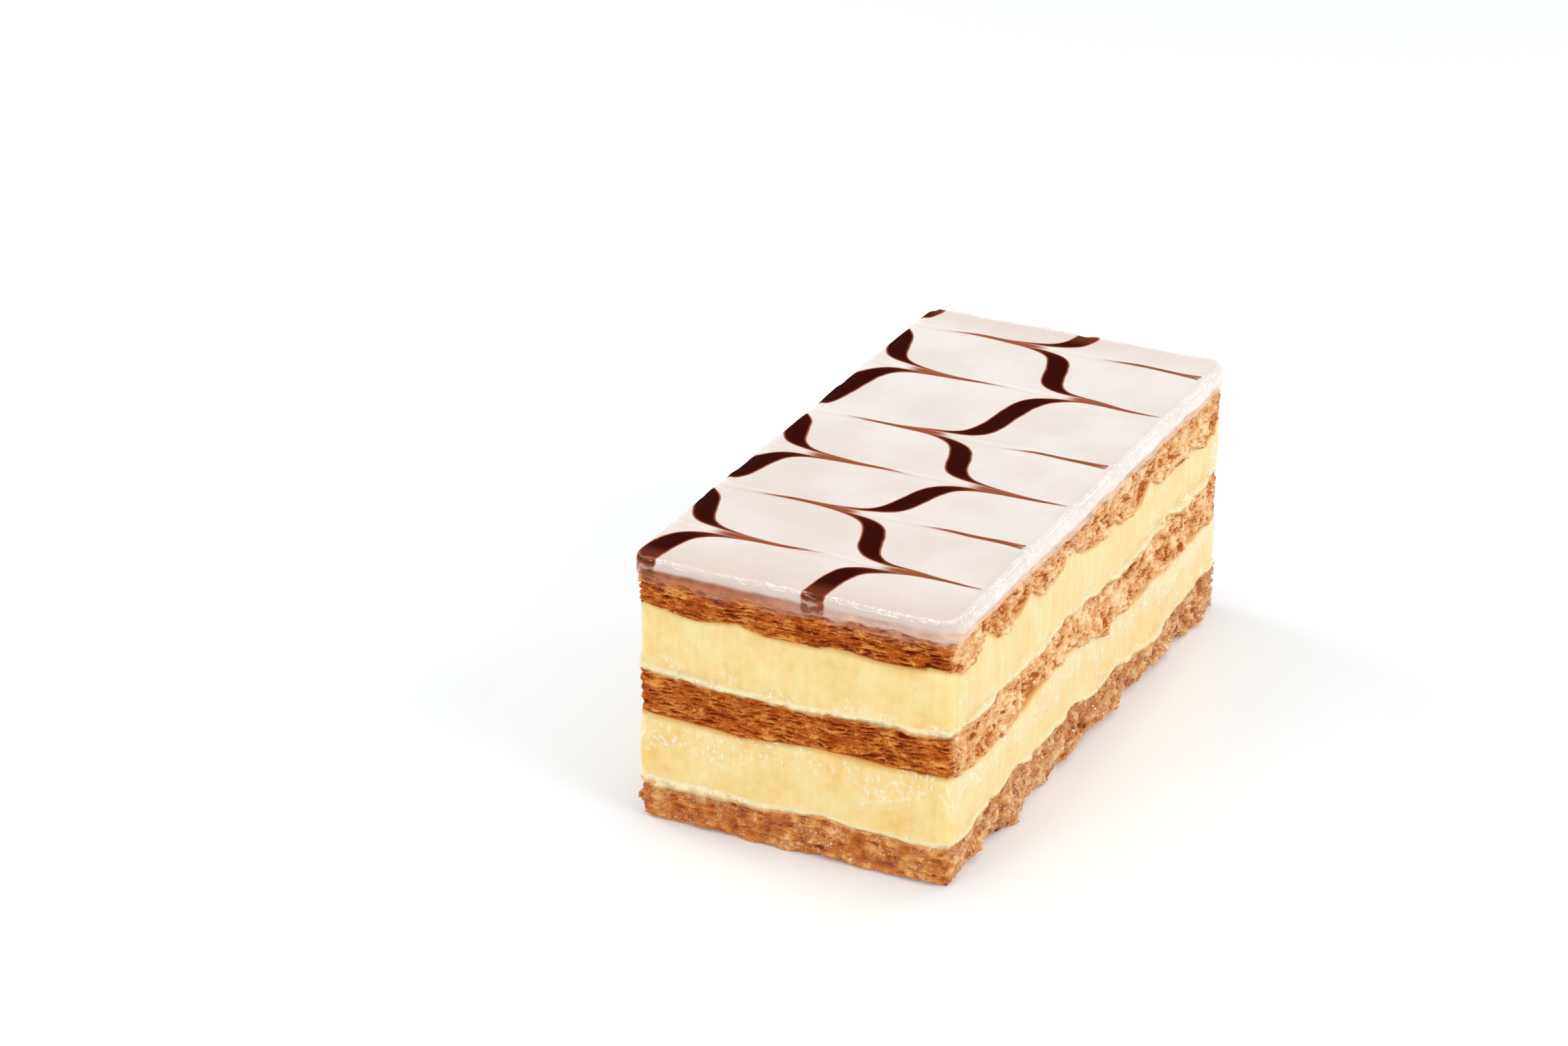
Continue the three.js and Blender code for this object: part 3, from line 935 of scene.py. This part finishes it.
def creamMaterial(name, damp, dampAt):
    material, tree, shader, place = newMaterial(name)
    millimetres = place * perMetre
    onLong = attributeOf(tree, "longSide")
    cloud = noiseOf(millimetres, 0.14, 3.0)
    mottle = noiseOf(millimetres, 0.55, 3.0, 0.6)
    streak = noiseOf(millimetres * (1.1, 1.1, 0.1), 1.0, 4.0, 0.6) - 0.5
    share = (cloud - 0.5) * 1.8 + 0.42
    share = (mottle - 0.5) * 1.1 + share
    share = (streak * (onLong * 1.6 + 0.7) + share).clamped()
    colour = mixOf(share, cream["colour"], cream["deepColour"])
    colour = mixOf(onLong * cream["sideShare"], colour, cream["sideColour"])
    # pale and wet where it touches the pastry below, and painted shade along the one above
    layerShare = attributeOf(tree, "layerShare")
    reach, edgeShare = cream["wetEdge"]
    colour = mixOf(fadeBetween(layerShare, reach, 0.0) * edgeShare, colour, cream["wetColour"])
    reach, edgeShare = cream["underPastryShadeEdge"]
    colour = mixOf(fadeBetween(layerShare, 1.0 - reach, 1.0) * edgeShare, colour, cream["underPastryShadeColour"])
    nearDamp = fadeBetween(calc("ABSOLUTE", layerShare - dampAt), cream["dampReach"], 0.0)
    wetness = fadeBetween(nearDamp * 0.2 + noiseOf(millimetres, 0.2), damp[0], damp[1])
    ripples = noiseOf(millimetres * (1.0, 1.0, 0.7), 1.7)
    # Painted highlight: pale dabs on the ripple tops where the cream is damp.
    glintDabs = fadeBetween(ripples, 0.52, 0.72) * wetness
    colour = mixOf(glintDabs * cream["paintedGlintShare"], colour, cream["paintedGlintColour"])
    ripples = ripples * (wetness * 1.4 + 0.3)
    setSockets(shader, {
        "Base Color": colour,
        "Roughness": spanOf(wetness, *cream["roughness"]),
        "Coat Weight": wetness * cream["dampCoat"],
        "Normal": bumpFrom(streak + ripples, *cream["bump"]),
        **cream["finish"],
    })
    return material


def filmMaterial():
    # Thin, wet custard over the pastry, ragged and thinnest at its lower edge.
    material, tree, shader, place = newMaterial("custardFilm")
    millimetres = place * perMetre
    film = attributeOf(tree, "film")
    mottle = noiseOf(millimetres, 0.6, 3.0, 0.6)
    solid = ((mottle - 0.5) * 1.3 + 0.98 - film * 1.05).clamped()
    setSockets(shader, {
        "Base Color": mixOf(fadeBetween(film, 0.0, 0.35), cream["filmTopColour"], cream["filmColour"]),
        "Alpha": solid,
        "Normal": bumpFrom(noiseOf(millimetres, 0.9, 1.0), *cream["filmBump"]),
        **cream["filmFinish"],
    })
    return material


custardFilm = filmMaterial()
creamLayers = [
    # piece, node, surfaces below and above, seed, film over the pastry below
    ("creamLowerCustard", "cream_lower", "bottomPastryTop", "middlePastryBottom", 200,
     {"seed": 71, "drop": 0.9, "smearAt": 8, "smearWidth": 9, "smearDrop": 2.2,
      "pastrySeed": 100, "pastryHeight": 7.1, "damp": (0.5, 0.66), "dampAt": 0.75}),
    ("creamUpperCustard", "cream_upper", "middlePastryTop", "topPastryBottom", 400,
     {"seed": 81, "drop": 1.0, "smearAt": 45, "smearWidth": 6, "smearDrop": 0.5,
      "pastrySeed": 300, "pastryHeight": 7.15, "damp": (0.56, 0.74), "dampAt": 0.0}),
]
for name, node, low, high, seed, side in creamLayers:
    blank = layerBlank(
        name + "Blank", low, high, cream["spacing"], cream["rowHeight"], creamOffset(seed),
        overlap=cream["overlap"], hang=lambda at, t: creamHang(at, t, side),
    )
    custard = creamMaterial(name, side["damp"], side["dampAt"])
    values = {**cream["relief"], "Seed": float(seed), "Material": custard, "Film Material": custardFilm}
    piece = runTree(blank, sideRelief, values, name)
    pieces.append((piece, node, "cream"))
    dropBlank(blank)
    print("cream layer done:", name, len(piece.data.polygons), "faces")

# Icing

icing = {
    "spacing": 0.34,
    "corner": 1.8,
    "shoulderEnd": 0.9,  # radius of the rounded edge at the short ends
    "shoulderSide": 1.0,  # and along the long sides
    "out": 0.4,
    "outSide": 0.35,  # more on the long sides, where it rolls over the edge
    "skirtDrop": 0.3,
    "sag": 0.25,  # along the long sides
    "drips": 1.1,  # along the long sides
    "endDrop": 2.1,  # thin glaze that ran down the cut ends
    "ridge": 0.45,  # crinkled sugar ridge along the cut ends
    "roll": 0.22,  # raised roll along the long sides
    "crinklePitches": (0.9, 3.1),
    "rollPitch": 1.1,
    "waves": [(0.2, 7, 901), (0.12, 2.2, 902)],  # depth, pitch and seed of the edge's wander
    "rimSteps": (0.3, 0.5, 0.65, 0.78, 0.9),
    "shoulderSteps": 9,
    "skirtSteps": (0.15, 0.3, 0.45, 0.6, 0.75, 0.9, 1),
    "skirtEnd": (0.7, 0.1),  # how far in and up the underside starts
    "underIn": 1.5,
    "groove": (0.1, 0.45),  # depth and half width of the pick's marks
    "bank": (0.05, 1.0, 0.5),  # height, distance and half width beside them
    "chocolateRise": 0.06,
    "chocolateEdge": 0.5,
    "white": srgb(233, 226, 221),
    "shade": srgb(226, 217, 211),
    "thinned": srgb(212, 184, 168),  # where the pastry shows through, at the cut ends
    # painted highlight on the ridge and roll, over the whiter sugar crust of the ridge
    "crustAndHighlight": srgb(255, 251, 246),
    "film": srgb(242, 206, 184),
    "thinFilm": srgb(208, 128, 88),
    "chocolate": srgb(50, 7, 3),
    "tail": srgb(152, 74, 40),
    "thinnedReach": 9.0,
    "thinnedShare": 0.3,
    "cover": 0.68,  # of the glaze over the pastry at the cut ends
    "coverLoss": 0.2,  # towards -X
    "coverPatches": 1.1,
    "ridgeBreak": 0.75,  # how much of the chocolate the ridge and the glaze hide
    "filmBreak": 0.75,
    "roughness": (0.14, 0.34),
    "coat": 0.5,
    "chocolateCoat": 0.15,
    "bump": (0.05, 0.6),
    "finish": {
        "Specular IOR Level": 0.0,
        "Coat Roughness": 0.12,
        "Subsurface Weight": 0.15,
        "Subsurface Scale": 1.0 * mm,
        "Subsurface Radius": (1.0, 0.85, 0.8),
    },
}


def pulledBy(y):
    shift, slope = np.zeros_like(y), np.zeros_like(y)
    for k, line in enumerate(pickLines):
        distance = np.abs(y - line) + feathering["Reach"]
        pullHere = feathering["Pull"] * feathering["Reach"] / distance
        shift += pullHere if k % 2 == 0 else -pullHere
        slope += pullHere / distance
    return shift, slope


def chocolateAt(x, y):  # 0 to 1, x and y from the corner at -X, -Y
    shift, slope = pulledBy(y)
    pitch = feathering["Band Pitch"]
    fromBand = np.abs((x - shift - feathering["First Band"] + pitch / 2) % pitch - pitch / 2)
    blur = icing["chocolateEdge"] * np.sqrt(1 + slope**2)
    return np.clip((feathering["Band Width"] / 2 - fromBand) / blur + 0.5, 0, 1)


def icingTop(nx, ny, arc):
    # The level top as a grid, and the grid point that each point of the first ring joins.
    x0, y0 = halfWidth - icing["corner"], halfLength - icing["corner"]
    gx, gy = np.meshgrid(np.linspace(-x0, x0, nx + 1), np.linspace(-y0, y0, ny + 1))
    grid = np.column_stack([gx.ravel(), gy.ravel(), np.full(gx.size, cut["height"])])
    row = nx + 1
    faces = []
    for j in range(ny):
        for i in range(nx):
            a = j * row + i
            faces.append((a, a + 1, a + row + 1, a + row))
    border = []
    for k, steps in enumerate((nx, ny, nx, ny)):
        for i in range(steps + 1):
            spots = [(i, 0), (nx, i), (nx - i, ny), (0, ny - i)][k]
            border.append(spots[1] * row + spots[0])
        border += [border[-1]] * (arc - 1)
    return grid, faces, border


def icingEdge(at):
    # Rings from the top's rim over the rounded edge and down the skirt, with their film, and their
    # whitening: sugar crust on the ridge, painted highlight on the ridge and the roll.
    onLong, s = at["onLong"], at["s"]
    count = len(s)
    shoulder = icing["shoulderEnd"] + (icing["shoulderSide"] - icing["shoulderEnd"]) * onLong
    wobble = sum(depth * aroundNoise(s, pitch, seed) for depth, pitch, seed in icing["waves"])
    low = surfaceHeight("icingBottom", at, 0) - icing["skirtDrop"] * (1 + aroundNoise(s, 4.5, 903))
    low = low - icing["sag"] * onLong * (1 + aroundNoise(s, 9, 904))
    low = low - icing["drips"] * onLong * np.maximum(0, aroundNoise(s, 5.5, 910)) ** 2
    low = low - icing["endDrop"] * (1 - onLong) * (0.8 + 0.35 * aroundNoise(s, 6, 907))
    reach = icing["out"] + icing["outSide"] * onLong + wobble + 0.5 * cornerCut(at)
    fine, coarse = icing["crinklePitches"]
    crinkle = aroundShare(s, fine, 905) * (0.4 + 0.6 * aroundNoise(s, coarse, 906) ** 2)
    ridge = icing["ridge"] * crinkle * (1 - onLong)
    fineRidge = aroundShare(s, icing["rollPitch"], 908)
    rings, films, crustAndHighlights = [], [], []
    for t in icing["rimSteps"]:  # level rim, rising to the roll
        offset = -icing["corner"] + (icing["corner"] - shoulder + reach) * t
        rings.append(ringAt(at, offset, cut["height"] + icing["roll"] * onLong * t**3))
        # the rim whitens towards the roll: painted highlight
        crustAndHighlights.append(0.2 * onLong * ease((t - 0.5) / 0.5))
    for angle in np.linspace(0, math.pi / 2, icing["shoulderSteps"]):
        offset = reach - shoulder * (1 - math.sin(angle))
        z = cut["height"] - shoulder * (1 - math.cos(angle))
        bead = math.exp(-(((angle - 0.5) / 0.45) ** 2))
        lift = ridge * bead + icing["roll"] * onLong * math.cos(angle) ** 2
        offset = offset + 0.5 * ridge * bead - 0.12 * fineRidge * onLong * math.sin(angle)
        rings.append(ringAt(at, offset, z + lift))
        # the ridge is whitened as sugar crust and painted highlight, the roll as painted highlight where it
        # faces the light
        endCrustAndHighlight = (1 - onLong) * bead * ease(0.2 + 1.3 * crinkle)
        rollHighlight = 0.1 + 0.6 * fineRidge * (0.6 + 0.4 * aroundNoise(s, 3.7, 909))
        crustAndHighlights.append(endCrustAndHighlight + onLong * rollHighlight)
    films += [np.zeros(count)] * len(rings)
    zShoulder = cut["height"] - shoulder
    for t in icing["skirtSteps"]:
        offset = reach - 0.25 * (t - 0.3) ** 2
        rings.append(ringAt(at, offset, zShoulder + (low - zShoulder) * t))
        films.append(ease((t - 0.3 * onLong) / (1 - 0.3 * onLong)) * np.ones(count))
        # painted highlight down the top of the roll's skirt
        crustAndHighlights.append(0.5 * onLong * (1 - t))
    inner, innerUp = icing["skirtEnd"]
    rings.append(ringAt(at, reach - inner, low + innerUp))
    rings.append(ringAt(at, -icing["underIn"], cut["icingBottom"] - innerUp))
    films += [np.ones(count), np.zeros(count)]
    crustAndHighlights += [np.zeros(count)] * 2
    return rings, films, crustAndHighlights


def icingSheet():
    at = walkOutline(icing["spacing"], icing["corner"])
    grid, faces, border = icingTop(*at["sides"])
    rings, films, crustAndHighlights = icingEdge(at)
    count, base = len(at["s"]), len(grid)
    for i in range(count):
        j = (i + 1) % count
        if border[i] == border[j]:
            faces.append((border[i], base + i, base + j))
        else:
            faces.append((border[j], border[i], base + i, base + j))
    for a, b, c, d in stripFaces(count, len(rings)):
        faces.append((base + d, base + c, base + b, base + a))
    last = base + (len(rings) - 1) * count
    faces.append(tuple(range(last + count - 1, last - 1, -1)))
    points = icingRelief(np.concatenate([grid] + rings))
    film = np.concatenate([np.zeros(base)] + films)
    crustAndHighlight = np.concatenate([np.zeros(base)] + crustAndHighlights)
    return meshFrom("icingFeathered", points, faces, {"film": ("FLOAT", film), "crustAndHighlight": ("FLOAT", crustAndHighlight)})


def icingRelief(points):
    # Low swells, the marks of the pick and the raised chocolate, on the upper side only.
    x, y = points[:, 0] + halfWidth, points[:, 1] + halfLength
    upper = ease((points[:, 2] - cut["height"] + 1.0) / 0.9)
    swellHere = 0.07 * np.sin(x * 0.23 + 1.3) * np.cos(y * 0.17) + 0.05 * np.sin(x * 0.41 + y * 0.31)
    marks = np.zeros_like(y)
    depth, grooveWidth = icing["groove"]
    height, bankAt, bankWidth = icing["bank"]
    for line in pickLines:
        distance = np.abs(y - line)
        marks -= depth * np.exp(-((distance / grooveWidth) ** 2))
        marks += height * np.exp(-(((distance - bankAt) / bankWidth) ** 2))
    lift = swellHere + marks + icing["chocolateRise"] * chocolateAt(x, y)
    moved = points.copy()
    moved[:, 2] += upper * lift
    return moved


def icingMaterial():
    material, tree, shader, place = newMaterial("featheredIcing")
    millimetres = place * perMetre
    x, y, z = partsOf(millimetres)
    fromEnd = halfLength - calc("ABSOLUTE", y)
    underTop = cut["height"] - z
    crustAndHighlight = attributeOf(tree, "crustAndHighlight")
    film = attributeOf(tree, "film")
    base = mixOf(fadeBetween(noiseOf(millimetres, 0.09, 3.0), 0.35, 0.65), icing["white"], icing["shade"])
    thinned = fadeBetween(fromEnd, icing["thinnedReach"], 0.0) * icing["thinnedShare"]
    thinned = fadeBetween(y, 40.0, -halfLength) * 0.16 + thinned
    base = mixOf(thinned, base, icing["thinned"])
    # Whiter sugar crackle on the ridge, and painted highlight on the ridge and roll.
    crackleAndHighlight = crustAndHighlight * fadeBetween(noiseOf(millimetres, 2.0, 3.0, 0.6), 0.42, 0.56)
    base = mixOf(crackleAndHighlight, base, icing["crustAndHighlight"])
    # thin, see-through glaze hanging over the pastry, thinnest towards -X
    run = noiseOf(millimetres * (0.35, 0.35, 0.8), 1.0, 4.0, 0.6) - 0.5
    leftward = fadeBetween(x, 10.0, -10.0)
    thin = fadeBetween(film, 0.0, 0.25)
    base = mixOf(thin, base, mixOf(leftward, icing["film"], icing["thinFilm"]))
    cover = run * icing["coverPatches"] + (icing["cover"] - leftward * icing["coverLoss"])
    end = fadeBetween(run * 0.9 + film, 0.72, 0.98)
    cover = (cover * (1.0 - end)).clamped()
    group = newNode(tree, "ShaderNodeGroup", node_tree=featherField)
    setSockets(group, dict(feathering, Position=place))
    chocolate = Field(group.outputs["Chocolate"])
    # the rolls at the long sides cover it, and the sugar ridge at the cut ends breaks it up
    patchy = fadeBetween(run, -0.1, 0.1) * 0.35 + 0.4
    covers = [
        fadeBetween(x, -halfWidth + 0.7, -halfWidth - 0.3) * fadeBetween(underTop, 0.1, 1.3),
        fadeBetween(x, halfWidth - 1.3, halfWidth - 0.8),
        crustAndHighlight * fadeBetween(fromEnd, 2.0, 1.0) * icing["ridgeBreak"],
        fadeBetween(film, 0.0, 0.8) * icing["filmBreak"],
        fadeBetween(underTop, 0.2, 1.0) * fadeBetween(fromEnd, 1.2, 0.5) * patchy,
    ]
    bare = covers[0]
    for each in covers[1:]:
        bare = calc("MAXIMUM", bare, each)
    chocolate = chocolate * (1.0 - bare)
    dark = fadeBetween(chocolate, 0.4, 0.95) * (thin * -0.7 + 1.0)
    dark = dark * (fadeBetween(fromEnd, 4.5, 0.8) * -0.35 + 1.0)
    colour = mixOf(fadeBetween(chocolate, 0.05, 0.45), base, icing["tail"])
    setSockets(shader, {
        "Base Color": mixOf(dark, colour, icing["chocolate"]),
        "Alpha": fieldOf(tree, "ShaderNodeMix", {0: thin, 2: 1.0, 3: cover}, data_type="FLOAT"),
        "Roughness": spanOf(noiseOf(millimetres, 0.25, 3.0), *icing["roughness"]),
        "Coat Weight": spanOf(dark, icing["coat"], icing["chocolateCoat"]),
        "Normal": bumpFrom(noiseOf(millimetres, 0.3, 1.0) + crackleAndHighlight * 1.5, *icing["bump"]),
        **icing["finish"],
    })
    return material


piece = icingSheet()
piece.data.materials.append(icingMaterial())
pieces.append((piece, "icing", "icing"))
print("icing done:", len(piece.data.polygons), "faces")

# Bodies

for piece, node, slotName in pieces:
    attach(piece, "root")
    if node:
        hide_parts(node)
print("pieces placed:", len(pieces))

# Floor, light and camera

floorLook = {
    "size": 3.0,
    "colour": srgb(234, 239, 243),
    "glow": 0.12,
}


def makeFloor():
    half = floorLook["size"] / 2
    corners = [(-half, -half, 0), (half, -half, 0), (half, half, 0), (-half, half, 0)]
    mesh = bpy.data.meshes.new("paleFloor")
    mesh.from_pydata(corners, [], [(0, 1, 2, 3)])
    floor = bpy.data.objects.new("paleFloor", mesh)
    bpy.context.scene.collection.objects.link(floor)
    material, tree, shader, place = newMaterial("paleSweep")
    setSockets(shader, {
        "Base Color": floorLook["colour"],
        "Roughness": 0.35,
        "Emission Color": (1, 1, 1, 1),
        "Emission Strength": floorLook["glow"],
    })
    mesh.materials.append(material)


sky = {"walls": 0.14, "ceiling": 1.0}
lights = [
    # name, azimuth and elevation it comes from, distance, size, watts, colour
    ("rightSoftbox", 80, 30, 0.9, 0.6, 3.9, (1, 0.99, 0.975)),
    ("backTop", 160, 55, 1.0, 0.8, 1.2, (1, 1, 1)),
    ("leftWindow", -98, 32, 0.9, 0.5, 3.0, (1, 0.995, 0.985)),
    ("frontFill", -30, 24, 1.1, 0.7, 1.2, (1, 0.99, 0.98)),
    ("frontSpark", -18, 14, 0.9, 0.14, 1.0, (1, 1, 1)),
    ("leftSpark", -55, 6, 0.9, 0.09, 0.6, (1, 1, 1)),
    ("backSpark", 150, 18, 0.9, 0.12, 0.9, (1, 1, 1)),
]


def directionFrom(azimuth, elevation):  # azimuth 0 looks along +Y from the front, 90 from +X
    a, e = math.radians(azimuth), math.radians(elevation)
    return Vector((math.sin(a) * math.cos(e), -math.cos(a) * math.cos(e), math.sin(e)))


def makeLights():
    target = Vector((0, 0, 0.02))
    for name, azimuth, elevation, distance, size, watts, colour in lights:
        data = bpy.data.lights.new(name, "AREA")
        data.shape = "DISK"
        data.size = size
        data.energy = watts
        data.color = colour
        lamp = bpy.data.objects.new(name, data)
        way = directionFrom(azimuth, elevation)
        lamp.location = target + way * distance
        lamp.rotation_euler = way.to_track_quat("Z", "Y").to_euler()
        bpy.context.scene.collection.objects.link(lamp)
    world = bpy.data.worlds.new("studioSky")
    world.use_nodes = True
    tree = world.node_tree
    height = partsOf(fieldOf(tree, "ShaderNodeTexCoord", output="Generated"))[2]
    bright = fadeBetween(height, 0.35, 0.95)  # a ceiling of light over darker walls
    strength = bright * (sky["ceiling"] - sky["walls"]) + sky["walls"]
    setSockets(tree.nodes["Background"], {"Strength": strength, "Color": (1, 1, 1, 1)})
    bpy.context.scene.world = world


view = {
    "azimuth": 24.54,
    "elevation": 26.21,
    "roll": -0.30,
    "distance": 15.73 * cut["height"] * mm,
    "aimAcross": 2.30,  # the slice stands off the middle of the frame
    "aimUp": -0.75,
    "focalPixels": 6543,
    "imageWidth": 2351,
}


def makeCamera():
    target = Vector((0, 0, cut["height"] * mm / 2))
    eye = target + directionFrom(view["azimuth"], view["elevation"]) * view["distance"]
    back = directionFrom(view["azimuth"] + view["aimAcross"], view["elevation"] + view["aimUp"])
    turn = math.radians(view["azimuth"] + view["aimAcross"])
    right = Vector((math.cos(turn), math.sin(turn), 0))
    up = back.cross(right)
    roll = math.radians(view["roll"])
    rolledRight = math.cos(roll) * right + math.sin(roll) * up
    rolledUp = -math.sin(roll) * right + math.cos(roll) * up
    data = bpy.data.cameras.new("photoView")
    data.sensor_width = 36
    data.lens = view["focalPixels"] / view["imageWidth"] * 36
    data.clip_start = 0.05
    data.clip_end = 20
    camera = bpy.data.objects.new("photoView", data)
    axes = Matrix((rolledRight, rolledUp, back)).transposed().to_4x4()
    camera.matrix_world = Matrix.Translation(eye) @ axes
    bpy.context.scene.collection.objects.link(camera)
    bpy.context.scene.camera = camera


makeFloor()
makeLights()
makeCamera()
bpy.context.scene.view_settings.view_transform = "Standard"
bpy.context.scene.view_settings.look = "None"
print("floor, light and camera done")
